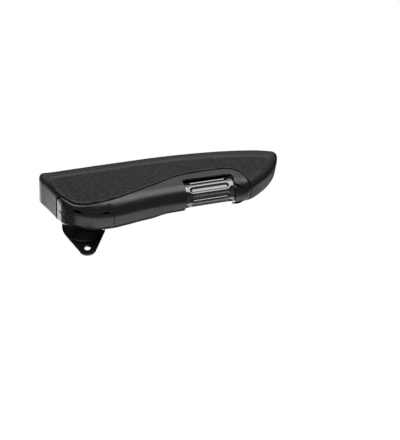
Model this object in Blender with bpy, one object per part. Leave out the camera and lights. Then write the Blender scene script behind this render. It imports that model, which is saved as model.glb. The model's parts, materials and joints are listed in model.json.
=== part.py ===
"""Flip-up seat armrest, right-hand: a foam arm pad on a steel frame that swings on a bolt-on plate.

The frame of reference is the armrest in use: +X forward to the tip, +Z up, +Y towards the seat.
The origin is on the pivot axis, in the plane of the plate's seat-side face. Sizes are in metres.
"""

import math

import bmesh
import bpy
from mathutils import Matrix, Vector

MM = 0.001
GAP = 0.3 * MM
FAR = 400 * MM

# Overall shape of the arm
ARM_LENGTH = 375 * MM
REAR_OVERHANG = 58 * MM
REAR_HALF_WIDTH = 26.5 * MM
PLATEAU_HEIGHT = 4 * MM
PLATE_CLEARANCE = 0.5 * MM
PLATEAU_END_X = 96 * MM
PLATEAU_RAMP = 28 * MM
REAR_TOP_Z = 61 * MM
CROWN_Z = 65.5 * MM
NOSE_DROP = 18.5 * MM
NOSE_RADIUS = 11 * MM
PAD_EDGE_RADIUS = 12 * MM
REAR_EDGE_RADIUS = 9 * MM
HOUSING_DEPTH = 36 * MM
TRIM_EDGE_RADIUS = 20.5 * MM
TRIM_WALL = 2.5 * MM

# Handwheel and its spindle
NOSE_LENGTH = 88 * MM
WHEEL_LENGTH = 78 * MM
WHEEL_RADIUS = 19.4 * MM
WHEEL_AXIS_Z = -7.5 * MM
WHEEL_GAP = 1.6 * MM
WINDOW_TOP_Z = 3.5 * MM
RECESS_COUNT = 8
RECESS_WIDTH = 8.5 * MM
RECESS_DEPTH = 2.2 * MM
RECESS_END = 9 * MM
SPINDLE_RADIUS = 5 * MM
THREAD_PITCH = 2 * MM
NUT_LENGTH = 16 * MM
NUT_HALF_WIDTH = 9 * MM
BLOCK_LENGTH = 10 * MM
SPACER_RADIUS = 8 * MM
DRIVE_PIN_RADIUS = 1.5 * MM
DRIVE_PIN_REACH = 9.5 * MM
DRIVE_PIN_INSET = 9 * MM

# Pivot
LEVER_REACH = 20 * MM
LEVER_THICKNESS = 6 * MM
LEVER_END_RADIUS = 5 * MM
LEVER_PIN_RADIUS = 2.5 * MM
TILT_TRAVEL = 4.2 * MM
LIFT_RANGE = math.radians(100)
AXLE_RADIUS = 8 * MM
SLEEVE_WALL = 3 * MM
BUSH_WALL = 2.4 * MM
STOP_PIN_RADIUS = 2 * MM
CIRCLIP_THICKNESS = 1.2 * MM
CIRCLIP_GROOVE = 1 * MM

# Mounting plate
PLATE_THICKNESS = 3 * MM
HOLE_SPACING = 88 * MM
HOLE_RADIUS = 4.5 * MM
EAR_RADIUS = 13.5 * MM
PLATE_BODY_RADIUS = 33 * MM
PLATE_LEAN = math.radians(-5.7)
DISH_RADIUS = 29.5 * MM
DISH_FLOOR_RADIUS = 15 * MM
DISH_DEPTH = 11.5 * MM
STUD_RADIUS = 5 * MM
NUT_FLATS = 17 * MM
NUT_HEIGHT = 5 * MM

# Frame inside the foam
FRAME_HALF_WIDTH = 14 * MM
FRAME_SHEET = 2.5 * MM
FRAME_TOP_Z = 30 * MM
FRAME_BOTTOM_Z = -18.5 * MM
FRAME_NOSE_GAP = 46 * MM
SCREW_RADIUS = 2.5 * MM
SCREW_HEAD_RADIUS = 4.5 * MM
SCREW_HEAD_HEIGHT = 2.4 * MM
SCREW_LENGTH = 14 * MM
STRAP_SCREW_RADIUS = 1.5 * MM

# Pivot cover
COVER_HALF_WIDTH = 14.5 * MM
COVER_FRONT_X = 37 * MM
COVER_POINT_X = -38 * MM
COVER_SHOULDER_X = -21 * MM
CLIP_SLOT_X = (-15 * MM, 25 * MM)
CLIP_SLOT_LENGTH = 8 * MM
CLIP_SLOT_WIDTH = 3 * MM

# Worked out from the sizes above
TIP_X = ARM_LENGTH - REAR_OVERHANG
DISH_BACK_Y = -DISH_DEPTH - PLATE_THICKNESS
TAPER_END_X = TIP_X - 20 * MM
PLATEAU_Y = DISH_BACK_Y - PLATE_CLEARANCE
ARM_MIDDLE_Y = PLATEAU_Y - PLATEAU_HEIGHT - REAR_HALF_WIDTH
NOSE_HALF_WIDTH = WHEEL_RADIUS + 2.1 * MM
TRIM_DEPTH = WHEEL_RADIUS - WHEEL_AXIS_Z + 1.1 * MM
WHEEL_FRONT_X = TIP_X - NOSE_LENGTH
WHEEL_REAR_X = WHEEL_FRONT_X - WHEEL_LENGTH
REAR_BLOCK_X = WHEEL_REAR_X - 14 * MM - BLOCK_LENGTH
FRONT_BLOCK_X = WHEEL_FRONT_X + 4 * MM
NUT_X = REAR_BLOCK_X - TILT_TRAVEL - 4 * MM - NUT_LENGTH / 2
SPINDLE_REAR_X = NUT_X - NUT_LENGTH / 2 - TILT_TRAVEL - 1 * MM
SPINDLE_FRONT_X = FRONT_BLOCK_X + BLOCK_LENGTH - 1 * MM
BORE_RADIUS = SPINDLE_RADIUS + GAP
SLEEVE_BORE = AXLE_RADIUS + GAP
SLEEVE_RADIUS = SLEEVE_BORE + SLEEVE_WALL
BUSH_BORE = SLEEVE_RADIUS + GAP
BUSH_RADIUS = BUSH_BORE + BUSH_WALL
BUSH_FLANGE_RADIUS = BUSH_RADIUS + 2.8 * MM
HUB_HOLE_RADIUS = BUSH_RADIUS + GAP
HUB_POCKET_RADIUS = BUSH_FLANGE_RADIUS + 1.5 * MM
INNER_CHEEK_Y = ARM_MIDDLE_Y + FRAME_HALF_WIDTH
OUTER_CHEEK_Y = ARM_MIDDLE_Y - FRAME_HALF_WIDTH
FRAME_HOLD = 0.4 * MM
FRAME_REAR_X = -20 * MM
FRAME_FRONT_X = TIP_X - FRAME_NOSE_GAP
HOLLOW_FRONT_X = FRONT_BLOCK_X + BLOCK_LENGTH + 1 * MM
OVER_WHEEL_Z = WHEEL_AXIS_Z + WHEEL_RADIUS + 3.6 * MM


def clear_scene():
    for old in list(bpy.data.objects):
        bpy.data.objects.remove(old, do_unlink=True)


def material(name, colour, roughness, metallic=0.0):
    made = bpy.data.materials.new(name)
    made.use_nodes = True
    shader = made.node_tree.nodes["Principled BSDF"]
    shader.inputs["Base Color"].default_value = (*colour, 1.0)
    shader.inputs["Roughness"].default_value = roughness
    shader.inputs["Metallic"].default_value = metallic
    made.diffuse_color = (*colour, 1.0)
    return made


def add_object(name, mesh, surface=None):
    made = bpy.data.objects.new(name, mesh)
    bpy.context.scene.collection.objects.link(made)
    if surface:
        mesh.materials.append(surface)
    return made


def finish_mesh(name, shape, surface=None, smooth_angle=35):
    """Turns a bmesh into an object with its faces pointing out and its round stretches smooth."""
    bmesh.ops.recalc_face_normals(shape, faces=shape.faces)
    mesh = bpy.data.meshes.new(name)
    shape.to_mesh(mesh)
    shape.free()
    mesh.shade_smooth()
    mesh.set_sharp_from_angle(angle=math.radians(smooth_angle))
    return add_object(name, mesh, surface)


def along(axis, first, second, third):
    """A point given as two cross coordinates and one along the axis.

    Across Y the cross coordinates are X and Z, across X they are Y and Z, across Z they are X and Y.
    """
    return {"X": (third, first, second), "Y": (first, third, second), "Z": (first, second, third)}[axis]


def prism(name, outline, axis, start, end, surface=None, bevel=0.0):
    """An outline of cross coordinates, extruded along an axis."""
    shape = bmesh.new()
    rows = [[shape.verts.new(along(axis, a, b, level)) for a, b in outline] for level in (start, end)]
    shape.faces.new(rows[0])
    shape.faces.new(rows[1])
    for i in range(len(outline)):
        j = (i + 1) % len(outline)
        shape.faces.new((rows[0][i], rows[0][j], rows[1][j], rows[1][i]))
    bmesh.ops.recalc_face_normals(shape, faces=shape.faces)
    if bevel:
        k = "XYZ".index(axis)
        rims = [e for e in shape.edges if abs(e.verts[0].co[k] - e.verts[1].co[k]) < 1e-6]
        bmesh.ops.bevel(shape, geom=rims, offset=bevel, segments=1, affect="EDGES")
    return finish_mesh(name, shape, surface)


def circle(centre_a, centre_b, radius, count=32, start=0.0, sweep=2 * math.pi):
    closed = sweep > 2 * math.pi - 1e-6
    steps = count if closed else count - 1
    turns = [start + sweep * i / steps for i in range(count)]
    return [(centre_a + radius * math.cos(t), centre_b + radius * math.sin(t)) for t in turns]


def box(low, high, name, surface=None, bevel=0.0):
    corners = [(low[0], low[2]), (high[0], low[2]), (high[0], high[2]), (low[0], high[2])]
    return prism(name, corners, "Y", low[1], high[1], surface, bevel)


def turned(name, profile, axis, centre, surface=None, count=32):
    """A closed profile of (radius, level) pairs turned about an axis through the centre."""
    shape = bmesh.new()
    rings = []
    for radius, level in profile:
        if radius < 1e-7:
            rings.append([shape.verts.new(along(axis, centre[0], centre[1], level))])
            continue
        ring = circle(centre[0], centre[1], radius, count)
        rings.append([shape.verts.new(along(axis, a, b, level)) for a, b in ring])
    closed = len(rings[0]) > 1
    for k in range(len(rings) if closed else len(rings) - 1):
        first = rings[k]
        second = rings[(k + 1) % len(rings)]
        for i in range(count):
            j = (i + 1) % count
            corners = [first[i % len(first)], first[j % len(first)]]
            corners += [second[j % len(second)], second[i % len(second)]]
            shape.faces.new(list(dict.fromkeys(corners)))
    return finish_mesh(name, shape, surface)


def tube(name, axis, centre, outer, inner, start, end, surface=None, count=32):
    profile = [(inner, start), (outer, start), (outer, end), (inner, end)]
    return turned(name, profile, axis, centre, surface, count)


def rod(name, axis, centre, radius, start, end, surface=None, count=32):
    profile = [(0, start), (radius, start), (radius, end), (0, end)]
    return turned(name, profile, axis, centre, surface, count)


def drill(name, axis, centre, radius, start=-FAR, end=FAR, count=32):
    """A cutter for a round hole, right through unless it is given an end."""
    return rod(name, axis, centre, radius, start, end, count=count)


def combine(target, other, operation="DIFFERENCE"):
    """Cuts, joins or crosses the target with a helper that is itself left out of the model."""
    step = target.modifiers.new(f"{operation.lower()} {other.name}", "BOOLEAN")
    step.operation = operation
    step.solver = "EXACT"
    step.object = other
    other.hide_render = True
    other.display_type = "WIRE"
    return target


def cut(target, *cutters):
    for cutter in cutters:
        combine(target, cutter)
    return target


def join(target, *others):
    for other in others:
        combine(target, other, "UNION")
    return target


def stadium(centre_a, centre_b, half_length, radius, count=7):
    """An outline with straight sides along the first coordinate and round ends."""
    front = circle(centre_a + half_length - radius, centre_b, radius, count, -math.pi / 2, math.pi)
    rear = circle(centre_a - half_length + radius, centre_b, radius, count, math.pi / 2, math.pi)
    return front + rear


def smooth_curve(points, steps):
    """A Catmull-Rom curve through the points, ends included."""
    ends = [points[0]] + list(points) + [points[-1]]
    curve = []
    for i in range(1, len(ends) - 2):
        before, first, second, after = (Vector(p) for p in ends[i - 1:i + 3])
        for k in range(steps):
            t = k / steps
            line = 2 * first + (second - before) * t
            line += (2 * before - 5 * first + 4 * second - after) * t ** 2
            line += (3 * first - before - 3 * second + after) * t ** 3
            curve.append(tuple(line / 2))
    curve.append(tuple(points[-1]))
    return curve


# ---- the shape that the pad and the trim share ----


def side_outline():
    """The arm's outline seen from the side, as (x, z, edge radius), from the rear foot clockwise."""
    rear = [
        (-36 * MM, -6 * MM, 14 * MM),
        (-40 * MM, 6 * MM, REAR_EDGE_RADIUS),
        (-50 * MM, 29 * MM, REAR_EDGE_RADIUS),
        (-REAR_OVERHANG + 1 * MM, REAR_TOP_Z - 17 * MM, REAR_EDGE_RADIUS),
        (-REAR_OVERHANG + 1 * MM, REAR_TOP_Z - 8 * MM, REAR_EDGE_RADIUS),
        (-REAR_OVERHANG + 6 * MM, REAR_TOP_Z - 1.5 * MM, REAR_EDGE_RADIUS),
    ]
    top = [
        (-REAR_OVERHANG + 18 * MM, REAR_TOP_Z, PAD_EDGE_RADIUS),
        (45 * MM, (REAR_TOP_Z + CROWN_Z) / 2 + 1 * MM, PAD_EDGE_RADIUS),
        (WHEEL_REAR_X - 14 * MM, CROWN_Z, PAD_EDGE_RADIUS),
        (WHEEL_FRONT_X - 10 * MM, CROWN_Z - 3.5 * MM, PAD_EDGE_RADIUS),
        (TIP_X - 38 * MM, CROWN_Z - NOSE_DROP * 0.58, PAD_EDGE_RADIUS),
        (TIP_X - NOSE_RADIUS, CROWN_Z - NOSE_DROP, NOSE_RADIUS * 0.9),
    ]
    nose_z = CROWN_Z - NOSE_DROP - NOSE_RADIUS
    nose = [
        (TIP_X - 2.6 * MM, nose_z + 6 * MM, NOSE_RADIUS * 0.8),
        (TIP_X, nose_z - 3 * MM, NOSE_RADIUS * 0.8),
        (TIP_X - 6 * MM, nose_z - 18 * MM, NOSE_RADIUS),
        (TIP_X - 19 * MM, nose_z - 34 * MM, PAD_EDGE_RADIUS),
        (TIP_X - 36 * MM, nose_z - 47 * MM, PAD_EDGE_RADIUS),
        (WHEEL_FRONT_X + 33 * MM, -TRIM_DEPTH + 7 * MM, PAD_EDGE_RADIUS),
        (WHEEL_FRONT_X + 18 * MM, -TRIM_DEPTH + 1.2 * MM, TRIM_EDGE_RADIUS * 0.9),
    ]
    below = [
        (WHEEL_FRONT_X + 4 * MM, -TRIM_DEPTH, TRIM_EDGE_RADIUS),
        (WHEEL_REAR_X - 14 * MM, -TRIM_DEPTH, TRIM_EDGE_RADIUS),
        (92 * MM, -TRIM_DEPTH - 2 * MM, TRIM_EDGE_RADIUS),
        (62 * MM, -HOUSING_DEPTH + 2.5 * MM, TRIM_EDGE_RADIUS),
        (34 * MM, -HOUSING_DEPTH, TRIM_EDGE_RADIUS),
        (8 * MM, -HOUSING_DEPTH + 2.5 * MM, TRIM_EDGE_RADIUS),
        (-16 * MM, -HOUSING_DEPTH + 12 * MM, TRIM_EDGE_RADIUS),
        (-30 * MM, -HOUSING_DEPTH + 23 * MM, 17 * MM),
        (-36 * MM, -6 * MM, 14 * MM),
    ]
    return smooth_curve(rear + top + nose + below, 4)[:-1]


def half_width(x, side):
    """Half the arm's width at x, on the seat side (1) or the outer side (-1)."""
    share = min(max(x / TAPER_END_X, 0), 1)
    width = REAR_HALF_WIDTH + (NOSE_HALF_WIDTH - REAR_HALF_WIDTH) * share
    if side > 0:
        ramp = min(max((x - PLATEAU_END_X) / PLATEAU_RAMP, 0), 1)
        width += PLATEAU_HEIGHT * (1 - ramp * ramp * (3 - 2 * ramp))
    return width


def slice_across(shape, x, clear_outer=False):
    everything = shape.verts[:] + shape.edges[:] + shape.faces[:]
    plane = {"plane_co": (x, 0, 0), "plane_no": (1, 0, 0), "clear_outer": clear_outer}
    bmesh.ops.bisect_plane(shape, geom=everything, dist=1e-6, **plane)


def arm_envelope(name, inset=0.0, rings=5, front_limit=None):
    """The whole arm as one closed body with rounded edges, or the space inside its wall."""
    outline = side_outline()
    count = len(outline)
    normals = []
    for i in range(count):
        step = Vector(outline[(i + 1) % count][:2]) - Vector(outline[i - 1][:2])
        normals.append(Vector((-step.y, step.x)).normalized())
    shape = bmesh.new()
    levels = []
    for side in (-1, 1):
        turns = [math.pi / 2 * k / rings for k in range(rings + 1)]
        for turn in (turns if side < 0 else reversed(turns)):
            row = []
            for (x, z, radius), normal in zip(outline, normals):
                edge = max(radius - inset, 1 * MM)
                spot = Vector((x, z)) - normal * (inset + edge * (1 - math.sin(turn)))
                back = edge * (1 - math.cos(turn))
                row.append(shape.verts.new((spot.x, side * (1 + back), spot.y)))
            levels.append(row)
    shape.faces.new(levels[0])
    shape.faces.new(levels[-1])
    for first, second in zip(levels, levels[1:]):
        for i in range(count):
            j = (i + 1) % count
            shape.faces.new((first[i], first[j], second[j], second[i]))
    for x in [PLATEAU_END_X + PLATEAU_RAMP * k / 6 for k in range(7)] + [0, TAPER_END_X]:
        slice_across(shape, x)
    if front_limit:
        slice_across(shape, front_limit, clear_outer=True)
        bmesh.ops.edgeloop_fill(shape, edges=[edge for edge in shape.edges if edge.is_boundary])
    for vertex in shape.verts:
        side = 1 if vertex.co.y > 0 else -1
        reach = half_width(vertex.co.x, side) - inset - (abs(vertex.co.y) - 1)
        vertex.co.y = ARM_MIDDLE_Y + side * reach
    bmesh.ops.triangulate(shape, faces=[face for face in shape.faces if len(face.verts) > 4])
    return finish_mesh(name, shape, smooth_angle=50)


def seam_line():
    """The seam between the pad and the trim, as (x, z), from behind the arm to under its nose."""
    points = [
        (-90 * MM, 5 * MM),
        (-52 * MM, 5 * MM),
        (-37 * MM, 4.5 * MM),
        (-29 * MM, -3 * MM),
        (-17 * MM, -13.5 * MM),
        (4 * MM, -19.5 * MM),
        (36 * MM, -17 * MM),
        (68 * MM, -9 * MM),
        (WHEEL_REAR_X - 40 * MM, 3 * MM),
        (WHEEL_REAR_X - 8 * MM, 12.5 * MM),
        (WHEEL_REAR_X + 26 * MM, 15.8 * MM),
        (WHEEL_FRONT_X - 18 * MM, 16 * MM),
        (WHEEL_FRONT_X + 3 * MM, 13 * MM),
        (WHEEL_FRONT_X + 14 * MM, 4.5 * MM),
        (WHEEL_FRONT_X + 20 * MM, -7 * MM),
        (WHEEL_FRONT_X + 23.5 * MM, -19 * MM),
        (WHEEL_FRONT_X + 25 * MM, -34 * MM),
        (WHEEL_FRONT_X + 25.5 * MM, -60 * MM),
    ]
    return smooth_curve(points, 4)


def below_seam(name, shift):
    """Everything under the seam, moved away from it by the shift."""
    line = seam_line()
    moved = []
    for i, (x, z) in enumerate(line):
        step = Vector(line[min(i + 1, len(line) - 1)]) - Vector(line[max(i - 1, 0)])
        normal = Vector((-step.y, step.x)).normalized()
        moved.append((x + normal.x * shift, z + normal.y * shift))
    return prism(name, moved + [(line[0][0], line[-1][1])], "Y", -FAR, FAR)


def arm_pad(surface):
    pad = arm_envelope("arm_pad")
    pad.data.materials.append(surface)
    outer_y = OUTER_CHEEK_Y - FRAME_HOLD
    inner_y = INNER_CHEEK_Y + FRAME_HOLD
    top = FRAME_TOP_Z + SCREW_HEAD_HEIGHT + 1 * MM
    recess = box((FRAME_REAR_X - 4 * MM, outer_y, -FAR), (HOLLOW_FRONT_X, inner_y, top), "recess cutter")
    nose_start = (WHEEL_FRONT_X, outer_y, OVER_WHEEL_Z - FRAME_HOLD)
    nose_end = (FRAME_FRONT_X + FRAME_HOLD, inner_y, top)
    join(recess, box(nose_start, nose_end, "nose recess cutter"))
    outer_end = OUTER_CHEEK_Y - 8 * MM
    pocket = drill("hub pocket cutter", "Y", (0, 0), HUB_POCKET_RADIUS, outer_end, FAR, count=48)
    return cut(pad, below_seam("seam cutter above", GAP / 2), recess, pocket)


def trim_shell(name, surface):
    """The half tube under the seam, before its openings are cut."""
    shell = arm_envelope(name)
    shell.data.materials.append(surface)
    combine(shell, below_seam(name + " seam limit", -GAP / 2), "INTERSECT")
    return cut(shell, arm_envelope(name + " hollow", TRIM_WALL, front_limit=HOLLOW_FRONT_X))


def cover_plan(widen):
    """The cover's outline seen from below, with its point to the rear."""
    side = COVER_HALF_WIDTH + widen
    return [
        (COVER_POINT_X - widen * 2, ARM_MIDDLE_Y),
        (COVER_SHOULDER_X, ARM_MIDDLE_Y - side),
        (COVER_FRONT_X + widen, ARM_MIDDLE_Y - side),
        (COVER_FRONT_X + widen, ARM_MIDDLE_Y + side),
        (COVER_SHOULDER_X, ARM_MIDDLE_Y + side),
    ]


def clip_slots(name):
    """One cutter with the four windows of the cover's clips."""
    slots = None
    for x in CLIP_SLOT_X:
        for side in (-1, 1):
            y = ARM_MIDDLE_Y + side * COVER_HALF_WIDTH
            low = (x - CLIP_SLOT_LENGTH / 2, y - CLIP_SLOT_WIDTH / 2, -FAR)
            high = (x + CLIP_SLOT_LENGTH / 2, y + CLIP_SLOT_WIDTH / 2, -8 * MM)
            slot = box(low, high, f"{name} {x / MM:.0f} {side}")
            slots = join(slots, slot) if slots else slot
    return slots


def underside_trim(surface):
    trim = trim_shell("underside_trim", surface)
    opening = prism("cover opening cutter", cover_plan(GAP), "Z", -FAR, 1 * MM)
    window_rear = (WHEEL_REAR_X - WHEEL_GAP, -FAR, -FAR)
    window_front = (WHEEL_FRONT_X + WHEEL_GAP, FAR, WINDOW_TOP_Z)
    window = box(window_rear, window_front, "wheel window cutter")
    return cut(trim, opening, window, clip_slots("trim slots"))


def pivot_cover(surface):
    cover = trim_shell("pivot_cover", surface)
    combine(cover, prism("cover limit", cover_plan(0), "Z", -FAR, 0.5 * MM), "INTERSECT")
    return cut(cover, clip_slots("cover slots"))


# ---- the frame and what is fixed to it ----


def cheek(name, inner_y, outer_y):
    """One side plate of the frame: round the hub, along the spindle, and over the handwheel."""
    top = FRAME_TOP_Z - FRAME_SHEET / 2
    outline = [
        (FRAME_REAR_X, top),
        (FRAME_REAR_X, -8 * MM),
        (-9 * MM, FRAME_BOTTOM_Z),
        (WHEEL_REAR_X - 9 * MM, FRAME_BOTTOM_Z + 1.5 * MM),
        (WHEEL_REAR_X - 5 * MM, OVER_WHEEL_Z),
        (FRONT_BLOCK_X - 2 * MM, OVER_WHEEL_Z),
        (FRONT_BLOCK_X + BLOCK_LENGTH, OVER_WHEEL_Z),
        (FRAME_FRONT_X, OVER_WHEEL_Z + 6 * MM),
        (FRAME_FRONT_X, top),
    ]
    return prism(name, outline, "Y", inner_y, outer_y)


def arm_frame(surface):
    """A folded channel, open below, with a hub hole through both cheeks."""
    low = (FRAME_REAR_X, OUTER_CHEEK_Y, FRAME_TOP_Z - FRAME_SHEET)
    high = (FRAME_FRONT_X, INNER_CHEEK_Y, FRAME_TOP_Z)
    frame = box(low, high, "arm_frame", surface)
    outer = cheek("outer cheek", OUTER_CHEEK_Y, OUTER_CHEEK_Y + FRAME_SHEET)
    inner = cheek("inner cheek", INNER_CHEEK_Y - FRAME_SHEET, INNER_CHEEK_Y)
    join(frame, outer, inner)
    cut(frame, drill("hub hole cutter", "Y", (0, 0), HUB_HOLE_RADIUS))
    for x in block_middles():
        centre = (x, ARM_MIDDLE_Y)
        cut(frame, drill(f"frame screw cutter {x / MM:.0f}", "Z", centre, SCREW_RADIUS + GAP, 0))
    return frame


def block_middles():
    return (REAR_BLOCK_X + BLOCK_LENGTH / 2, FRONT_BLOCK_X + BLOCK_LENGTH / 2)


def bearing_block(name, rear_x, side_reach, surface):
    top = FRAME_TOP_Z - FRAME_SHEET - GAP
    low = (rear_x, ARM_MIDDLE_Y - side_reach, WHEEL_AXIS_Z - 9.5 * MM)
    high = (rear_x + BLOCK_LENGTH, ARM_MIDDLE_Y + side_reach, top)
    block = box(low, high, name, surface, bevel=0.8 * MM)
    screw_centre = (rear_x + BLOCK_LENGTH / 2, ARM_MIDDLE_Y)
    bore = drill(name + " bore", "X", (ARM_MIDDLE_Y, WHEEL_AXIS_Z), BORE_RADIUS)
    pilot = drill(name + " pilot", "Z", screw_centre, SCREW_RADIUS + GAP, top - SCREW_LENGTH)
    return cut(block, bore, pilot)


def screw(name, axis, centre, tip, seat, surface):
    """A round-headed screw from its tip to the seat under its head, the head on the far side."""
    direction = 1 if seat > tip else -1
    head = seat + direction * (GAP + SCREW_HEAD_HEIGHT)
    profile = [
        (0, tip),
        (SCREW_RADIUS * 0.6, tip),
        (SCREW_RADIUS, tip + direction * 1.2 * MM),
        (SCREW_RADIUS, seat + direction * GAP),
        (SCREW_HEAD_RADIUS, seat + direction * GAP),
        (SCREW_HEAD_RADIUS * 0.95, head - direction * 0.6 * MM),
        (SCREW_HEAD_RADIUS * 0.7, head),
        (0, head),
    ]
    made = turned(name, profile, axis, centre, surface, count=24)
    socket = circle(centre[0], centre[1], 1.7 * MM, 6)
    socket_floor = head - direction * 1.3 * MM
    return cut(made, prism(name + " socket", socket, axis, socket_floor, head + direction * 2 * MM))


def hub_bush(name, cheek_face, direction, surface):
    """A flanged bush whose flange lies on the cheek's outside face and whose tube passes through it."""
    flange = cheek_face + direction * GAP
    profile = [
        (BUSH_BORE, flange + direction * 1 * MM),
        (BUSH_FLANGE_RADIUS, flange + direction * 1 * MM),
        (BUSH_FLANGE_RADIUS, flange),
        (BUSH_RADIUS, flange),
        (BUSH_RADIUS, flange - direction * 4.5 * MM),
        (BUSH_BORE, flange - direction * 4.5 * MM),
    ]
    return turned(name, profile, "Y", (0, 0), surface)


def trim_clip(name, side, surface):
    """A spring clip folded round the cheek's lower edge, with its hook towards the trim's wall."""
    hook = max(REAR_HALF_WIDTH - TRIM_WALL - FRAME_HALF_WIDTH - 5 * MM, 0.6 * MM)
    x = COVER_FRONT_X + 14 * MM
    y = ARM_MIDDLE_Y + side * (FRAME_HALF_WIDTH - FRAME_SHEET / 2)
    reach = FRAME_SHEET / 2 + GAP
    sheet = 0.8 * MM
    floor = FRAME_BOTTOM_Z - 0.6 * MM
    outline = [
        (y - side * (reach + sheet), floor + 8 * MM),
        (y - side * (reach + sheet), floor - sheet),
        (y + side * (reach + sheet + hook * 0.6), floor - sheet),
        (y + side * (reach + sheet + hook), floor + 2 * MM),
        (y + side * (reach + sheet + hook * 0.8), floor + 2.6 * MM),
        (y + side * (reach + sheet + hook * 0.4), floor),
        (y - side * reach, floor),
        (y - side * reach, floor + 8 * MM),
    ]
    return prism(name, outline, "X", x, x + 10 * MM, surface)


# ---- the pivot, fixed to the seat ----


def plate_outline():
    """The rhomboid of the plate: a round middle, two round ears, and the tangents between them."""
    reach = HOLE_SPACING / 2
    spread = math.acos((PLATE_BODY_RADIUS - EAR_RADIUS) / reach)
    outline = []
    for turn in (math.pi / 2, -math.pi / 2):
        middle = (reach * math.cos(turn), reach * math.sin(turn))
        ear = circle(*middle, EAR_RADIUS, 11, turn - spread, 2 * spread)
        body = circle(0, 0, PLATE_BODY_RADIUS, 9, turn + spread, math.pi - 2 * spread)
        outline += ear + body
    lean = Matrix.Rotation(PLATE_LEAN, 2)
    return [tuple(lean @ Vector(p)) for p in outline]


def hole_centres():
    lean = Matrix.Rotation(PLATE_LEAN, 2)
    return [tuple(lean @ Vector((0, side * HOLE_SPACING / 2))) for side in (-1, 1)]


def mount_plate(surface):
    plate = prism("mount_plate", plate_outline(), "Y", -PLATE_THICKNESS, 0, surface, bevel=0.4 * MM)
    slope_y = -DISH_DEPTH * 0.42
    outside = [
        (DISH_RADIUS + 2 * MM, -PLATE_THICKNESS / 2),
        (DISH_RADIUS - 3 * MM, slope_y - 2 * MM),
        (DISH_FLOOR_RADIUS + 5 * MM, -DISH_DEPTH - 1.2 * MM),
        (DISH_FLOOR_RADIUS + 1.2 * MM, DISH_BACK_Y),
    ]
    inside = [
        (DISH_FLOOR_RADIUS, -DISH_DEPTH),
        (DISH_FLOOR_RADIUS + 3 * MM, -DISH_DEPTH + 1.2 * MM),
        (DISH_RADIUS - 6 * MM, slope_y),
        (DISH_RADIUS - 2 * MM, -0.8 * MM),
        (DISH_RADIUS + 1.4 * MM, 0.3 * MM),
    ]
    bowl = [(0, -PLATE_THICKNESS / 2)] + smooth_curve(outside, 2) + [(0, DISH_BACK_Y)]
    hollow = [(0, -DISH_DEPTH)] + smooth_curve(inside, 2) + [(DISH_RADIUS + 1.4 * MM, 5 * MM), (0, 5 * MM)]
    join(plate, turned("dish", bowl, "Y", (0, 0), count=48))
    cut(plate, turned("dish hollow cutter", hollow, "Y", (0, 0), count=48))
    cut(plate, drill("stud hole cutter", "Y", (0, 0), STUD_RADIUS + GAP))
    for i, centre in enumerate(hole_centres()):
        cut(plate, drill(f"bolt hole cutter {i}", "Y", centre, HOLE_RADIUS, count=28))
    return plate


def pivot_axle(surface):
    """Threaded stud, shoulder, bearing length and circlip groove, from the seat outwards."""
    shoulder = DISH_BACK_Y - 2.1 * MM
    bearing = shoulder - 2.9 * MM
    groove = sleeve_ends()[1] - 2.7 * MM
    end = groove - CIRCLIP_THICKNESS - 1.2 * MM
    profile = [
        (0, -DISH_DEPTH + 8.3 * MM),
        (STUD_RADIUS - 0.8 * MM, -DISH_DEPTH + 8.3 * MM),
        (STUD_RADIUS, -DISH_DEPTH + 7.5 * MM),
        (STUD_RADIUS, shoulder),
        (AXLE_RADIUS + 4 * MM, shoulder),
        (AXLE_RADIUS + 4 * MM, bearing),
        (AXLE_RADIUS, bearing),
        (AXLE_RADIUS, groove),
        (AXLE_RADIUS - 1.2 * MM, groove),
        (AXLE_RADIUS - 1.2 * MM, groove - CIRCLIP_THICKNESS - 0.4 * MM),
        (AXLE_RADIUS, groove - CIRCLIP_THICKNESS - 0.4 * MM),
        (AXLE_RADIUS - 0.8 * MM, end),
        (0, end),
    ]
    axle = turned("pivot_axle", profile, "Y", (0, 0), surface)
    pin = (0, stop_pin_y())
    return cut(axle, drill("stop pin hole cutter", "Z", pin, STOP_PIN_RADIUS + GAP, -2 * MM, count=20))


def sleeve_ends():
    """Where the pivot sleeve starts and ends along the axle, seat end first."""
    start = DISH_BACK_Y - 5.3 * MM
    end = OUTER_CHEEK_Y - 2 * GAP - 2.2 * MM
    return start, end


def stop_pin_y():
    return sleeve_ends()[0] - 3.2 * MM


def circlip(name, start, end, inner, outer, surface):
    ring = tube(name, "Y", (0, 0), outer, inner, start, end, surface)
    low = (-2.5 * MM, end - 1 * MM, -outer - 5 * MM)
    high = (2.5 * MM, start + 1 * MM, 0)
    return cut(ring, box(low, high, name + " gap cutter"))


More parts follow.
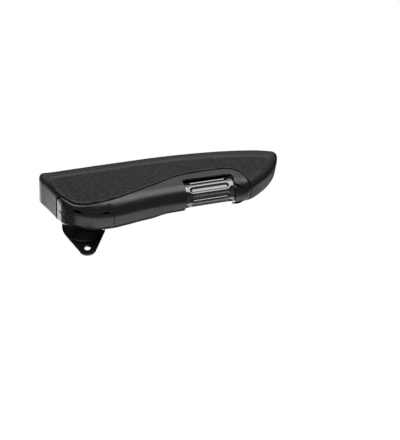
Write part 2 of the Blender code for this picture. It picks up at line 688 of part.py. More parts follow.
def pivot_fixed(steel, dark, polymer):
    floor = -DISH_DEPTH
    stud = STUD_RADIUS + GAP
    washer_top = floor + 1.8 * MM
    tube("mount_washer", "Y", (0, 0), 10.5 * MM, stud, washer_top, floor + GAP, steel)
    nut_base = washer_top + GAP
    flats = circle(0, 0, NUT_FLATS / math.sqrt(3), 6, math.radians(20))
    nut = prism("mount_nut", flats, "Y", nut_base, nut_base + NUT_HEIGHT, steel, bevel=0.5 * MM)
    cut(nut, drill("nut bore cutter", "Y", (0, 0), stud))
    disc = (DISH_BACK_Y - GAP, DISH_BACK_Y - 1.8 * MM)
    tube("friction_disc", "Y", (0, 0), AXLE_RADIUS + 6 * MM, stud, *disc, polymer)
    pivot_axle(dark)
    pin_top = SLEEVE_RADIUS - CIRCLIP_GROOVE - GAP  # clears the ring that sits in the groove
    rod("axle_stop_pin", "Z", (0, stop_pin_y()), STOP_PIN_RADIUS, -1.5 * MM, pin_top, steel, count=20)
    end = sleeve_ends()[1]
    bore = AXLE_RADIUS + GAP
    tube("wave_washer", "Y", (0, 0), AXLE_RADIUS + 5 * MM, bore, end - GAP, end - 1.1 * MM, steel)
    thrust = (end - 1.4 * MM, end - 2.5 * MM)
    tube("thrust_washer", "Y", (0, 0), AXLE_RADIUS + 5.5 * MM, bore, *thrust, polymer)
    start = end - 2.9 * MM
    clip_end = start - CIRCLIP_THICKNESS
    circlip("axle_circlip", start, clip_end, AXLE_RADIUS - 0.9 * MM, AXLE_RADIUS + 2.5 * MM, steel)


# ---- the sleeve and lever that swing with the arm and take its rest ----


def pivot_sleeve(surface):
    start, end = sleeve_ends()
    groove = INNER_CHEEK_Y + 2 * GAP + 1.2 * MM
    profile = [
        (SLEEVE_BORE, start),
        (SLEEVE_RADIUS, start),
        (SLEEVE_RADIUS, groove + CIRCLIP_THICKNESS + GAP),
        (SLEEVE_RADIUS - CIRCLIP_GROOVE, groove + CIRCLIP_THICKNESS + GAP),
        (SLEEVE_RADIUS - CIRCLIP_GROOVE, groove),
        (SLEEVE_RADIUS, groove),
        (SLEEVE_RADIUS, end + 1.2 * MM),
        (SLEEVE_RADIUS + 5 * MM, end + 1.2 * MM),
        (SLEEVE_RADIUS + 5 * MM, end),
        (SLEEVE_BORE, end),
    ]
    sleeve = turned("pivot_sleeve", profile, "Y", (0, 0), surface)
    reach = SLEEVE_RADIUS + 3 * MM
    margin = math.asin((STOP_PIN_RADIUS + 0.2 * MM) / SLEEVE_BORE)
    arc = circle(0, 0, reach, 13, math.pi / 2 - LIFT_RANGE - margin, LIFT_RANGE + 2 * margin)
    notch_floor = stop_pin_y() - STOP_PIN_RADIUS - GAP
    return cut(sleeve, prism("stop notch cutter", [(0, 0)] + arc, "Y", notch_floor, start + 1 * MM))


def stop_lever(surface):
    """A flat lever round the sleeve, with a round eye for the lever pin below the axis."""
    bore = SLEEVE_RADIUS + GAP
    hub = bore + 3.2 * MM
    half = LEVER_THICKNESS / 2
    lean = math.acos((hub - LEVER_END_RADIUS) / LEVER_REACH)
    down = -math.pi / 2
    outline = circle(0, 0, hub, 21, down + lean, 2 * math.pi - 2 * lean)
    outline += circle(0, -LEVER_REACH, LEVER_END_RADIUS, 11, down - lean, 2 * lean)
    lever = prism("stop_lever", outline, "Y", ARM_MIDDLE_Y - half, ARM_MIDDLE_Y + half, surface)
    sleeve_hole = drill("lever sleeve cutter", "Y", (0, 0), bore, count=40)
    eye = (0, -LEVER_REACH)
    return cut(lever, sleeve_hole, drill("lever pin cutter", "Y", eye, LEVER_PIN_RADIUS + GAP, count=20))


def lever_group(steel, dark):
    pivot_sleeve(dark)
    stop_lever(steel)
    reach = LEVER_THICKNESS / 2 + 4.3 * MM
    ends = (ARM_MIDDLE_Y - reach, ARM_MIDDLE_Y + reach)
    rod("lever_pin", "Y", (0, -LEVER_REACH), LEVER_PIN_RADIUS, *ends, steel, count=20)
    start = INNER_CHEEK_Y + 2 * GAP + 1.35 * MM
    radii = (SLEEVE_RADIUS - 0.7 * MM, SLEEVE_RADIUS + 2.6 * MM)
    circlip("sleeve_circlip", start + CIRCLIP_THICKNESS, start, *radii, steel)


# ---- the adjuster ----


def adjuster_nut(surface):
    low = (NUT_X - NUT_LENGTH / 2, ARM_MIDDLE_Y - NUT_HALF_WIDTH, WHEEL_AXIS_Z - NUT_HALF_WIDTH)
    high = (NUT_X + NUT_LENGTH / 2, ARM_MIDDLE_Y + NUT_HALF_WIDTH, WHEEL_AXIS_Z + NUT_HALF_WIDTH)
    nut = box(low, high, "adjuster_nut", surface, bevel=0.8 * MM)
    cut(nut, drill("nut thread cutter", "X", (ARM_MIDDLE_Y, WHEEL_AXIS_Z), BORE_RADIUS))
    radius = STRAP_SCREW_RADIUS + GAP
    for x in strap_screws():
        cut(nut, drill(f"nut pilot {x / MM:.0f}", "Z", (x, ARM_MIDDLE_Y), radius, -FAR, low[2] + 3 * MM))
    return nut


def strap_screws():
    return (NUT_X - NUT_LENGTH / 4, NUT_X + NUT_LENGTH / 4)


def draw_strap(surface):
    """Two legs beside the lever, slotted for its pin, joined by a foot under the nut."""
    leg_inner = LEVER_THICKNESS / 2 + 1 * MM
    leg_outer = leg_inner + 3 * MM
    top = WHEEL_AXIS_Z - NUT_HALF_WIDTH - GAP
    bottom = -LEVER_REACH - 5.4 * MM
    front = NUT_X + NUT_LENGTH / 2
    low = (NUT_X - NUT_LENGTH / 2, ARM_MIDDLE_Y - leg_outer, top - 2.5 * MM)
    high = (front, ARM_MIDDLE_Y + leg_outer, top)
    strap = box(low, high, "draw_strap", surface)
    for side in (-1, 1):
        faces = sorted((ARM_MIDDLE_Y + side * leg_inner, ARM_MIDDLE_Y + side * leg_outer))
        outline = [
            (-6 * MM, -LEVER_REACH + 5.5 * MM),
            (-6 * MM, bottom + 4.2 * MM),
            (-4.2 * MM, bottom + 1.4 * MM),
            (0, bottom),
            (20 * MM, bottom),
            (NUT_X - NUT_LENGTH / 2 + 4 * MM, top - 4.5 * MM),
            (front, top - 4.5 * MM),
            (front, top),
            (22 * MM, top),
            (12 * MM, -LEVER_REACH + 5.5 * MM),
        ]
        join(strap, prism(f"strap leg {side}", outline, "Y", *faces))
    play = LEVER_PIN_RADIUS + GAP
    rise = LEVER_REACH * (1 - math.cos(TILT_TRAVEL / LEVER_REACH)) + play + 0.2 * MM
    slot = box((-play, -FAR, -LEVER_REACH - rise), (play, FAR, -LEVER_REACH + rise), "strap slot cutter")
    cut(strap, slot)
    radius = STRAP_SCREW_RADIUS + GAP
    for x in strap_screws():
        cut(strap, drill(f"strap hole {x / MM:.0f}", "Z", (x, ARM_MIDDLE_Y), radius, -FAR, 0, count=20))
    return strap


def strap_screw(name, x, surface):
    seat = WHEEL_AXIS_Z - NUT_HALF_WIDTH - GAP - 2.5 * MM - GAP
    profile = [
        (0, seat - 1.8 * MM),
        (2.4 * MM, seat - 1.8 * MM),
        (2.8 * MM, seat - 1.2 * MM),
        (2.8 * MM, seat),
        (STRAP_SCREW_RADIUS, seat),
        (STRAP_SCREW_RADIUS, WHEEL_AXIS_Z - NUT_HALF_WIDTH + 2.5 * MM),
        (0, WHEEL_AXIS_Z - NUT_HALF_WIDTH + 2.5 * MM),
    ]
    return turned(name, profile, "Z", (x, ARM_MIDDLE_Y), surface, count=20)


def drive_pin_hole(name, reach):
    ends = (ARM_MIDDLE_Y - reach, ARM_MIDDLE_Y + reach)
    centre = (WHEEL_REAR_X + DRIVE_PIN_INSET, WHEEL_AXIS_Z)
    return drill(name, "Y", centre, DRIVE_PIN_RADIUS + GAP, *ends, count=16)


def handwheel(surface):
    """A barrel with smooth end rings and long round-ended recesses between its ribs."""
    edge = 1.6 * MM
    axis = (ARM_MIDDLE_Y, WHEEL_AXIS_Z)
    profile = [
        (BORE_RADIUS, WHEEL_REAR_X),
        (WHEEL_RADIUS - edge, WHEEL_REAR_X),
        (WHEEL_RADIUS - 0.4 * MM, WHEEL_REAR_X + edge * 0.5),
        (WHEEL_RADIUS, WHEEL_REAR_X + edge),
        (WHEEL_RADIUS, WHEEL_FRONT_X - edge),
        (WHEEL_RADIUS - 0.4 * MM, WHEEL_FRONT_X - edge * 0.5),
        (WHEEL_RADIUS - edge, WHEEL_FRONT_X),
        (BORE_RADIUS, WHEEL_FRONT_X),
    ]
    wheel = turned("handwheel", profile, "X", axis, surface, count=48)
    half_length = WHEEL_LENGTH / 2 - RECESS_END
    outline = stadium((WHEEL_REAR_X + WHEEL_FRONT_X) / 2, 0, half_length, RECESS_WIDTH / 2)
    for i in range(RECESS_COUNT):
        floor = WHEEL_RADIUS - RECESS_DEPTH
        cutter = prism(f"recess cutter {i}", outline, "Z", floor, WHEEL_RADIUS + 5 * MM)
        turn = Matrix.Rotation(2 * math.pi * (i + 0.5) / RECESS_COUNT, 4, "X")
        cutter.matrix_world = Matrix.Translation((0, axis[0], axis[1])) @ turn
        cut(wheel, cutter)
    return cut(wheel, drive_pin_hole("wheel pin cutter", DRIVE_PIN_REACH + 1 * MM))


def spindle(surface):
    """Plain where it turns in the blocks and the wheel, with thread crests along the nut's travel."""
    crest = SPINDLE_RADIUS
    root = SPINDLE_RADIUS - 0.9 * MM
    thread_end = REAR_BLOCK_X - 1 * MM
    profile = [(0, SPINDLE_REAR_X), (root, SPINDLE_REAR_X)]
    x = SPINDLE_REAR_X + THREAD_PITCH / 2
    while x < thread_end - THREAD_PITCH / 2:
        profile += [(crest, x), (root, x + THREAD_PITCH / 2)]
        x += THREAD_PITCH
    profile += [(crest, thread_end), (crest, SPINDLE_FRONT_X - 0.8 * MM)]
    profile += [(crest - 0.8 * MM, SPINDLE_FRONT_X), (0, SPINDLE_FRONT_X)]
    made = turned("adjuster_spindle", profile, "X", (ARM_MIDDLE_Y, WHEEL_AXIS_Z), surface, count=20)
    return cut(made, drive_pin_hole("spindle pin cutter", FAR))


def wheel_group(plastic, steel, polymer):
    handwheel(plastic)
    spindle(steel)
    pin = (WHEEL_REAR_X + DRIVE_PIN_INSET, WHEEL_AXIS_Z)
    ends = (ARM_MIDDLE_Y - DRIVE_PIN_REACH, ARM_MIDDLE_Y + DRIVE_PIN_REACH)
    rod("wheel_drive_pin", "Y", pin, DRIVE_PIN_RADIUS, *ends, steel, count=16)
    axis = (ARM_MIDDLE_Y, WHEEL_AXIS_Z)
    rear = (REAR_BLOCK_X + BLOCK_LENGTH + GAP, WHEEL_REAR_X - GAP)
    front = (WHEEL_FRONT_X + GAP, FRONT_BLOCK_X - GAP)
    tube("rear_spacer", "X", axis, SPACER_RADIUS, BORE_RADIUS, *rear, polymer, count=28)
    tube("front_spacer", "X", axis, SPACER_RADIUS, BORE_RADIUS, *front, polymer, count=28)


def build():
    clear_scene()
    foam = material("black integral skin foam", (0.018, 0.018, 0.019), 0.55)
    plastic = material("black moulded plastic", (0.02, 0.02, 0.021), 0.42)
    gloss = material("gloss black plastic", (0.012, 0.012, 0.013), 0.18)
    paint = material("black painted steel", (0.02, 0.02, 0.021), 0.3)
    steel = material("zinc plated steel", (0.55, 0.56, 0.57), 0.35, 1.0)
    dark = material("phosphated steel", (0.08, 0.08, 0.085), 0.5, 0.8)
    brass = material("brass", (0.7, 0.5, 0.22), 0.35, 1.0)
    polymer = material("natural acetal", (0.75, 0.74, 0.7), 0.45)

    arm_pad(foam)
    underside_trim(plastic)
    pivot_cover(plastic)
    arm_frame(dark)
    bearing_block("rear_bearing_block", REAR_BLOCK_X, 10 * MM, polymer)
    bearing_block("front_bearing_block", FRONT_BLOCK_X, 8 * MM, polymer)
    for name, x in zip(("rear_block_screw", "front_block_screw"), block_middles()):
        screw(name, "Z", (x, ARM_MIDDLE_Y), FRAME_TOP_Z - SCREW_LENGTH, FRAME_TOP_Z, steel)
    hub_bush("inner_hub_bush", INNER_CHEEK_Y, 1, polymer)
    hub_bush("outer_hub_bush", OUTER_CHEEK_Y, -1, polymer)
    trim_clip("inner_trim_clip", 1, steel)
    trim_clip("outer_trim_clip", -1, steel)

    mount_plate(paint)
    pivot_fixed(steel, dark, polymer)
    lever_group(steel, dark)
    adjuster_nut(brass)
    draw_strap(steel)
    for name, x in zip(("rear_strap_screw", "front_strap_screw"), strap_screws()):
        strap_screw(name, x, steel)
    wheel_group(gloss, steel, polymer)


build()
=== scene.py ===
import json
import math

import bmesh
import bpy
import numpy as np
from mathutils import Matrix, Vector, noise


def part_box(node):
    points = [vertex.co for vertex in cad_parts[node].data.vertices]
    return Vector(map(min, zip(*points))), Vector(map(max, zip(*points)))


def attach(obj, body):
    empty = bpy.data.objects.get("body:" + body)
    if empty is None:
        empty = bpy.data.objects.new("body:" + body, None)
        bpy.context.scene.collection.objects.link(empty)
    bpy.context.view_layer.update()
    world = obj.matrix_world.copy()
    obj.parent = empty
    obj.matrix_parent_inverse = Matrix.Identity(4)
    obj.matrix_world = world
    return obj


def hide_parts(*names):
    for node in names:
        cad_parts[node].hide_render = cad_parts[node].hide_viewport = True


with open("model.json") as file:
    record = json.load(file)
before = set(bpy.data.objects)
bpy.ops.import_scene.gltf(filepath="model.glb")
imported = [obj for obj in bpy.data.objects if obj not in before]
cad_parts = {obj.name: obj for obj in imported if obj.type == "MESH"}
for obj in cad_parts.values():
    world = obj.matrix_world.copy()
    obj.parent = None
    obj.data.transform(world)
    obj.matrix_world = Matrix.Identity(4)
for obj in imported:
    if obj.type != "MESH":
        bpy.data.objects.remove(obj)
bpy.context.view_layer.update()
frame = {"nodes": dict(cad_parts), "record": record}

mm = 0.001
scene = bpy.context.scene

wheelLow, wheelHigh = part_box("handwheel")
tipX = 317 * mm  # the arm's foremost point
rearX = wheelLow.x  # ends of the handwheel
frontX = wheelHigh.x
wheelZ = (wheelLow.z + wheelHigh.z) / 2
middleY = (wheelLow.y + wheelHigh.y) / 2
print("frame loaded, wheel from", round(rearX, 4), "to", round(frontX, 4))


def addObject(name, mesh, finish=None):
    made = bpy.data.objects.new(name, mesh)
    scene.collection.objects.link(made)
    if finish:
        mesh.materials.append(finish)
    return made


def writePoints(mesh, points):
    mesh.vertices.foreach_set("co", points.astype(np.float32).ravel())
    mesh.update()


def meshFrom(name, shape, sharpAngle=35):
    bmesh.ops.recalc_face_normals(shape, faces=shape.faces)
    mesh = bpy.data.meshes.new(name)
    shape.to_mesh(mesh)
    shape.free()
    mesh.shade_smooth()
    mesh.set_sharp_from_angle(angle=math.radians(sharpAngle))
    return mesh


def settle(thing):  # modifiers become plain mesh
    graph = bpy.context.evaluated_depsgraph_get()
    made = bpy.data.meshes.new_from_object(thing.evaluated_get(graph), depsgraph=graph)
    thing.modifiers.clear()
    thing.data = made
    return thing


def splitWide(shape):  # faces of more than four corners become triangles
    bmesh.ops.triangulate(shape, faces=[face for face in shape.faces if len(face.verts) > 4])


def carve(thing, cutters, kind="DIFFERENCE"):
    for cutter in cutters:
        step = thing.modifiers.new("carve", "BOOLEAN")
        step.operation = kind
        step.solver = "MANIFOLD"
        step.object = cutter
        settle(thing)
        shape = bmesh.new()
        shape.from_mesh(thing.data)
        bmesh.ops.remove_doubles(shape, verts=shape.verts, dist=0.01 * mm)
        bmesh.ops.dissolve_degenerate(shape, edges=shape.edges, dist=0.005 * mm)
        splitWide(shape)
        shape.to_mesh(thing.data)
        shape.free()
        bpy.data.objects.remove(cutter)
    return thing


def soften(thing, width, angle):  # breaks the edges that turn by more than the angle
    step = thing.modifiers.new("broken edges", "BEVEL")
    step.width = width
    step.segments = 2
    step.limit_method = "ANGLE"
    step.angle_limit = math.radians(angle)
    settle(thing)


def setFinish(thing, finish):
    thing.data.materials.clear()
    thing.data.materials.append(finish)


def finishPiece(thing, angle, finish):
    thing.data.shade_smooth()
    thing.data.set_sharp_from_angle(angle=math.radians(angle))
    weigh = thing.modifiers.new("even normals", "WEIGHTED_NORMAL")
    weigh.keep_sharp = True
    weigh.weight = 60
    setFinish(thing, finish)


def joinRows(shape, first, second):  # a band of four-sided faces between two closed rows
    for i in range(len(first)):
        j = (i + 1) % len(first)
        shape.faces.new((first[i], first[j], second[j], second[i]))


def extrude(name, outline, axis, start, end):
    place = {"Y": lambda a, b, c: (a, c, b), "Z": lambda a, b, c: (a, b, c)}[axis]
    shape = bmesh.new()
    rows = [[shape.verts.new(place(a, b, level)) for a, b in outline] for level in (start, end)]
    shape.faces.new(rows[0])
    shape.faces.new(rows[1])
    joinRows(shape, *rows)
    return addObject(name, meshFrom(name, shape))


def boxBetween(name, low, high):
    corners = [(low[0], low[2]), (high[0], low[2]), (high[0], high[2]), (low[0], high[2])]
    return extrude(name, corners, "Y", low[1], high[1])


def arc(a, b, radius, start, sweep, count):
    turns = [start + sweep * i / (count - 1) for i in range(count)]
    return [(a + radius * math.cos(t), b + radius * math.sin(t)) for t in turns]


def circle(radius, count, a=0, b=0):
    return arc(a, b, radius, 0, 2 * math.pi, count + 1)[:-1]


def smoothCurve(points, steps):
    ends = [points[0]] + list(points) + [points[-1]]
    curve = []
    for i in range(1, len(ends) - 2):
        before, first, second, after = (Vector(p) for p in ends[i - 1:i + 3])
        for k in range(steps):
            t = k / steps
            line = 2 * first + (second - before) * t
            line += (2 * before - 5 * first + 4 * second - after) * t ** 2
            line += (3 * first - before - 3 * second + after) * t ** 3
            curve.append(tuple(line / 2))
    curve.append(tuple(points[-1]))
    return curve


def ease(value, low, high):  # smooth 0 to 1 between low and high, on arrays
    t = np.clip((value - low) / (high - low), 0, 1)
    return t * t * (3 - 2 * t)


def lineDistance(points, line, closed=False):
    line = np.array(line, float)
    first = line if closed else line[:-1]
    second = np.roll(line, -1, axis=0) if closed else line[1:]
    step = second - first
    length = np.maximum((step ** 2).sum(1), 1e-12)
    rel = points[:, None, :] - first[None]
    t = np.clip((rel * step[None]).sum(2) / length[None], 0, 1)
    return np.sqrt(((rel - t[..., None] * step[None]) ** 2).sum(2)).min(1)


def insideOf(points, outline):
    inside = np.zeros(len(points), bool)
    for i in range(len(outline)):
        x0, z0 = outline[i - 1]
        x1, z1 = outline[i]
        crosses = (z0 > points[:, 1]) != (z1 > points[:, 1])
        across = (x1 - x0) * (points[:, 1] - z0) / (z1 - z0 + 1e-15) + x0
        inside ^= crosses & (points[:, 0] < across)
    return inside


def pointsOf(mesh):
    flat = np.empty(len(mesh.vertices) * 3, np.float32)
    mesh.vertices.foreach_get("co", flat)
    return flat.reshape(-1, 3).astype(float)


def keepValue(mesh, name, values):
    kept = mesh.attributes.get(name) or mesh.attributes.new(name, "FLOAT", "POINT")
    kept.data.foreach_set("value", values.astype(np.float32))


# the pad, the trim and the pivot cover are all cut from one skin
armShape = {
    "rearHalfWidth": 26.5 * mm,
    "noseHalfWidth": 21.5 * mm,
    "plateauHeight": 4 * mm,
    "plateauEndX": 96 * mm,
    "plateauRamp": 28 * mm,
    "rearTopZ": 61 * mm,
    "crownZ": 65.5 * mm,
    "noseDrop": 18.5 * mm,
    "noseRadius": 11 * mm,
    "padEdge": 12 * mm,
    "rearEdge": 9 * mm,
    "cornerEdge": 6 * mm,
    "housingDepth": 36 * mm,
    "trimDepth": 28 * mm,
    "trimEdge": 20.5 * mm,
    "cell": 2.4 * mm,  # size of the grid on the flat sides
    "coarseCell": 9 * mm,
    "gridRearX": -60 * mm,
    "gridLowZ": -36 * mm,
    "gridHighZ": 66 * mm,
    "slimmestEdge": 1 * mm,
}


def sideOutline(steps):  # x, z and edge radius, from low at the rear over the top to the nose and back below
    a = armShape
    top, crown, tip, edge = a["rearTopZ"], a["crownZ"], tipX, a["padEdge"]
    rear, corner, low = a["rearEdge"], a["cornerEdge"], a["trimEdge"]
    noseX, noseTop = tip - a["noseRadius"], crown - a["noseDrop"]
    noseZ = crown - a["noseDrop"] - a["noseRadius"]
    trimZ, housingZ = -a["trimDepth"], -a["housingDepth"]
    heel = (-36 * mm, -6 * mm, 14 * mm)
    points = [
        heel, (-40 * mm, 6 * mm, rear), (-50 * mm, 29 * mm, rear), (-57 * mm, top - 17 * mm, rear),
        (-57 * mm, top - 8 * mm, corner), (-52 * mm, top - 1.5 * mm, corner), (-40 * mm, top, rear),
        (-20 * mm, top + 0.9 * mm, 10.5 * mm), (45 * mm, (top + crown) / 2 + 1 * mm, edge),
        (rearX - 14 * mm, crown, edge), (frontX - 10 * mm, crown - 3.5 * mm, edge),
        (tip - 38 * mm, crown - a["noseDrop"] * 0.58, edge), (noseX, noseTop, 9.9 * mm),
        (tip - 2.6 * mm, noseZ + 6 * mm, 8.8 * mm), (tip, noseZ - 3 * mm, 8.8 * mm),
        (tip - 6 * mm, noseZ - 18 * mm, 11 * mm), (tip - 19 * mm, noseZ - 34 * mm, edge),
        (tip - 36 * mm, noseZ - 47 * mm, edge), (frontX + 33 * mm, trimZ + 7 * mm, edge),
        (frontX + 18 * mm, trimZ + 1.2 * mm, low * 0.9), (frontX + 4 * mm, trimZ, low),
        (rearX - 14 * mm, trimZ, low), (92 * mm, trimZ - 2 * mm, low),
        (62 * mm, housingZ + 2.5 * mm, low), (34 * mm, housingZ, low), (8 * mm, housingZ + 2.5 * mm, low),
        (-16 * mm, housingZ + 12 * mm, low), (-30 * mm, housingZ + 23 * mm, 17 * mm), heel,
    ]
    return smoothCurve(points, steps)[:-1]


def halfWidth(x, side):
    a = armShape
    share = np.clip(x / (tipX - 20 * mm), 0, 1)
    width = a["rearHalfWidth"] + (a["noseHalfWidth"] - a["rearHalfWidth"]) * share
    ramp = ease(x, a["plateauEndX"], a["plateauEndX"] + a["plateauRamp"])
    return width + np.where(side > 0, a["plateauHeight"] * (1 - ramp), 0)


def seamLine():  # where pad and trim meet, as x and z from the rear to below the nose
    return smoothCurve([
        (-90 * mm, 5 * mm), (-52 * mm, 5 * mm), (-37 * mm, 4.5 * mm), (-29 * mm, -3 * mm),
        (-17 * mm, -13.5 * mm), (4 * mm, -19.5 * mm), (36 * mm, -17 * mm), (68 * mm, -9 * mm),
        (rearX - 40 * mm, 3 * mm), (rearX - 8 * mm, 12.5 * mm), (rearX + 26 * mm, 15.8 * mm),
        (frontX - 18 * mm, 16 * mm), (frontX + 3 * mm, 13 * mm), (frontX + 14 * mm, 4.5 * mm),
        (frontX + 20 * mm, -7 * mm), (frontX + 23.5 * mm, -19 * mm), (frontX + 25 * mm, -34 * mm),
        (frontX + 25.5 * mm, -60 * mm),
    ], 8)


def underSeam(shift):  # all that lies below the seam line
    line = seamLine()
    moved = []
    for i, (x, z) in enumerate(line):
        step = Vector(line[min(i + 1, len(line) - 1)]) - Vector(line[max(i - 1, 0)])
        across = Vector((-step.y, step.x)).normalized()
        moved.append((x + across.x * shift, z + across.y * shift))
    return extrude("seam", moved + [(-90 * mm, -60 * mm)], "Y", -160 * mm, 60 * mm)


def slicePlane(shape, faces, point, across):
    parts = set(faces)
    for face in faces:
        parts.update(face.edges)
        parts.update(face.verts)
    bmesh.ops.bisect_plane(shape, geom=list(parts), plane_co=point, plane_no=across, dist=1e-6)


# the skin is built with its flat sides a metre out, then drawn in to its half widths
def armSkin(name, inset=0.0, rings=8, steps=9, fine=True, frontLimit=None):
    a = armShape
    outline = sideOutline(steps)
    count = len(outline)
    across = []
    for i in range(count):
        step = Vector(outline[(i + 1) % count][:2]) - Vector(outline[i - 1][:2])
        across.append(Vector((-step.y, step.x)).normalized())
    shape = bmesh.new()
    levels = []
    for side in (-1, 1):
        turns = [math.pi / 2 * k / rings for k in range(rings + 1)]
        for turn in (turns if side < 0 else reversed(turns)):
            row = []
            for (x, z, radius), normal in zip(outline, across):
                edge = max(radius - inset, a["slimmestEdge"])
                spot = Vector((x, z)) - normal * (inset + edge * (1 - math.sin(turn)))
                row.append(shape.verts.new((spot.x, side * (1 + edge * (1 - math.cos(turn))), spot.y)))
            levels.append(row)
    shape.faces.new(levels[0])
    shape.faces.new(levels[-1])
    for first, second in zip(levels, levels[1:]):
        joinRows(shape, first, second)
    cell = a["cell"] if fine else a["coarseCell"]
    x = a["gridRearX"] + cell
    while x < tipX:
        slicePlane(shape, shape.faces[:], (x, 0, 0), (1, 0, 0))
        x += cell
    if fine:
        z = a["gridLowZ"] + cell
        while z < a["gridHighZ"]:
            flat = [f for f in shape.faces if all(abs(abs(v.co.y) - 1) < 1e-7 for v in f.verts)]
            slicePlane(shape, flat, (0, 0, z), (0, 0, 1))
            z += cell
    if frontLimit:
        whole = shape.verts[:] + shape.edges[:] + shape.faces[:]
        bmesh.ops.bisect_plane(
            shape, geom=whole, plane_co=(frontLimit, 0, 0), plane_no=(1, 0, 0), dist=1e-6, clear_outer=True)
        bmesh.ops.holes_fill(shape, edges=shape.edges[:])
    for vertex in shape.verts:
        side = 1 if vertex.co.y > 0 else -1
        reach = float(halfWidth(np.array(vertex.co.x), side)) - inset - (abs(vertex.co.y) - 1)
        vertex.co.y = middleY + side * reach
    splitWide(shape)
    return addObject(name, meshFrom(name, shape, 60))


# shader node groups that several finishes share
groupLook = {
    "warpScale": 160.0,  # bends the rows of pebbles
    "warpReach": 0.0035,
    "fineRatio": 3.4,  # the fine grain's scale against the pebbles'
    "fineShare": 0.35,
    "patchScale": 45.0,
    "chipScale": 220.0,
}


def newGroup(name, inputs, output):  # a vector and floats go in, one float comes out
    group = bpy.data.node_groups.new(name, "ShaderNodeTree")
    group.interface.new_socket(name="Vector", in_out="INPUT", socket_type="NodeSocketVector")
    for label, value in inputs.items():
        made = group.interface.new_socket(name=label, in_out="INPUT", socket_type="NodeSocketFloat")
        made.default_value = value
    group.interface.new_socket(name=output, in_out="OUTPUT", socket_type="NodeSocketFloat")
    given = group.nodes.new("NodeGroupInput").outputs
    return group, given["Vector"], given, group.nodes.new("NodeGroupOutput").inputs[output]


def feed(tree, node, links):
    for socket, source in links.items():
        if isinstance(source, bpy.types.NodeSocket):
            tree.links.new(source, node.inputs[socket])
        else:
            node.inputs[socket].default_value = source
    return node


def put(tree, kind, links={}, **settings):
    node = tree.nodes.new("ShaderNode" + kind)
    for key, value in settings.items():
        setattr(node, key, value)
    return feed(tree, node, links)


def maths(tree, operation, first, second=0.0, third=0.0, clamp=False):
    return put(tree, "Math", {0: first, 1: second, 2: third}, operation=operation, use_clamp=clamp).outputs[0]


def remap(tree, value, fromLow, fromHigh, toLow, toHigh):
    return put(tree, "MapRange", {0: value, 1: fromLow, 2: fromHigh, 3: toLow, 4: toHigh}).outputs[0]


def noiseAt(tree, vector, scale, detail, roughness=0.5):
    links = {"Vector": vector, "Scale": scale, "Detail": detail, "Roughness": roughness}
    return put(tree, "TexNoise", links)


def makePebble():  # leather-like pebbles with fine creases between them
    look = groupLook
    group, vector, given, out = newGroup("pebbleGrain", {"Scale": 300.0, "Softness": 0.5}, "Height")
    warp = noiseAt(group, vector, look["warpScale"], 2.0).outputs["Color"]
    bent = put(group, "VectorMath", {0: warp, 3: look["warpReach"]}, operation="SCALE")
    moved = put(group, "VectorMath", {0: vector, 1: bent.outputs[0]}, operation="ADD").outputs[0]
    cells = put(group, "TexVoronoi", {"Vector": moved, "Scale": given["Scale"]}, feature="DISTANCE_TO_EDGE")
    crease = remap(group, cells.outputs["Distance"], 0.0, given["Softness"], 0.0, 1.0)
    fineScale = maths(group, "MULTIPLY", given["Scale"], look["fineRatio"])
    fine = noiseAt(group, vector, fineScale, 3.0).outputs["Fac"]
    group.links.new(maths(group, "MULTIPLY_ADD", fine, look["fineShare"], crease), out)
    return group


def makeFine():  # the fine sand of a moulded or painted surface
    group, vector, given, out = newGroup("fineTexture", {"Scale": 1500.0}, "Height")
    group.links.new(noiseAt(group, vector, given["Scale"], 4.0, 0.6).outputs["Fac"], out)
    return group


def makeTone():  # slow unevenness of colour and gloss
    group, vector, given, out = newGroup("slowTone", {"Scale": 14.0}, "Tone")
    wide = noiseAt(group, vector, given["Scale"], 5.0, 0.55).outputs["Fac"]
    group.links.new(remap(group, wide, 0.3, 0.7, 0.0, 1.0), out)
    return group


def makeDust():  # a thin film on what faces up, thicker in patches
    group, vector, given, out = newGroup("dustFilm", {"Amount": 0.1}, "Mask")
    split = put(group, "SeparateXYZ", {0: put(group, "NewGeometry").outputs["Normal"]})
    up = remap(group, split.outputs["Z"], -0.2, 1.0, 0.15, 1.0)
    patches = noiseAt(group, vector, groupLook["patchScale"], 6.0, 0.7).outputs["Fac"]
    spots = remap(group, patches, 0.35, 0.75, 0.0, 1.0)
    both = maths(group, "MULTIPLY", up, spots)
    group.links.new(maths(group, "MULTIPLY", both, given["Amount"], clamp=True), out)
    return group


def makeWear():  # rubbed edges, from how sharply the surface turns
    group, vector, given, out = newGroup("edgeWear", {"Amount": 0.3}, "Mask")
    sharp = remap(group, put(group, "NewGeometry").outputs["Pointiness"], 0.51, 0.56, 0.0, 1.0)
    broken = noiseAt(group, vector, groupLook["chipScale"], 4.0).outputs["Fac"]
    chips = remap(group, broken, 0.4, 0.6, 0.2, 1.0)
    both = maths(group, "MULTIPLY", sharp, chips)
    group.links.new(maths(group, "MULTIPLY", both, given["Amount"], clamp=True), out)
    return group


pebbleGrain = makePebble()
fineTexture = makeFine()
slowTone = makeTone()
dustFilm = makeDust()
edgeWear = makeWear()
print("shader groups made")


def useGroup(tree, group, place, **settings):
    node = tree.nodes.new("ShaderNodeGroup")
    node.node_tree = group
    return feed(tree, node, {"Vector": place, **settings}).outputs[0]


def mixColour(tree, share, first, second):  # a colour mix has its factor at 0 and its colours at 6 and 7
    node = put(tree, "Mix", data_type="RGBA")
    return feed(tree, node, {0: share, 6: first, 7: second}).outputs[2]


def bump(tree, strength, distance, height, **normal):
    links = {"Strength": strength, "Distance": distance, "Height": height, **normal}
    return put(tree, "Bump", links).outputs[0]


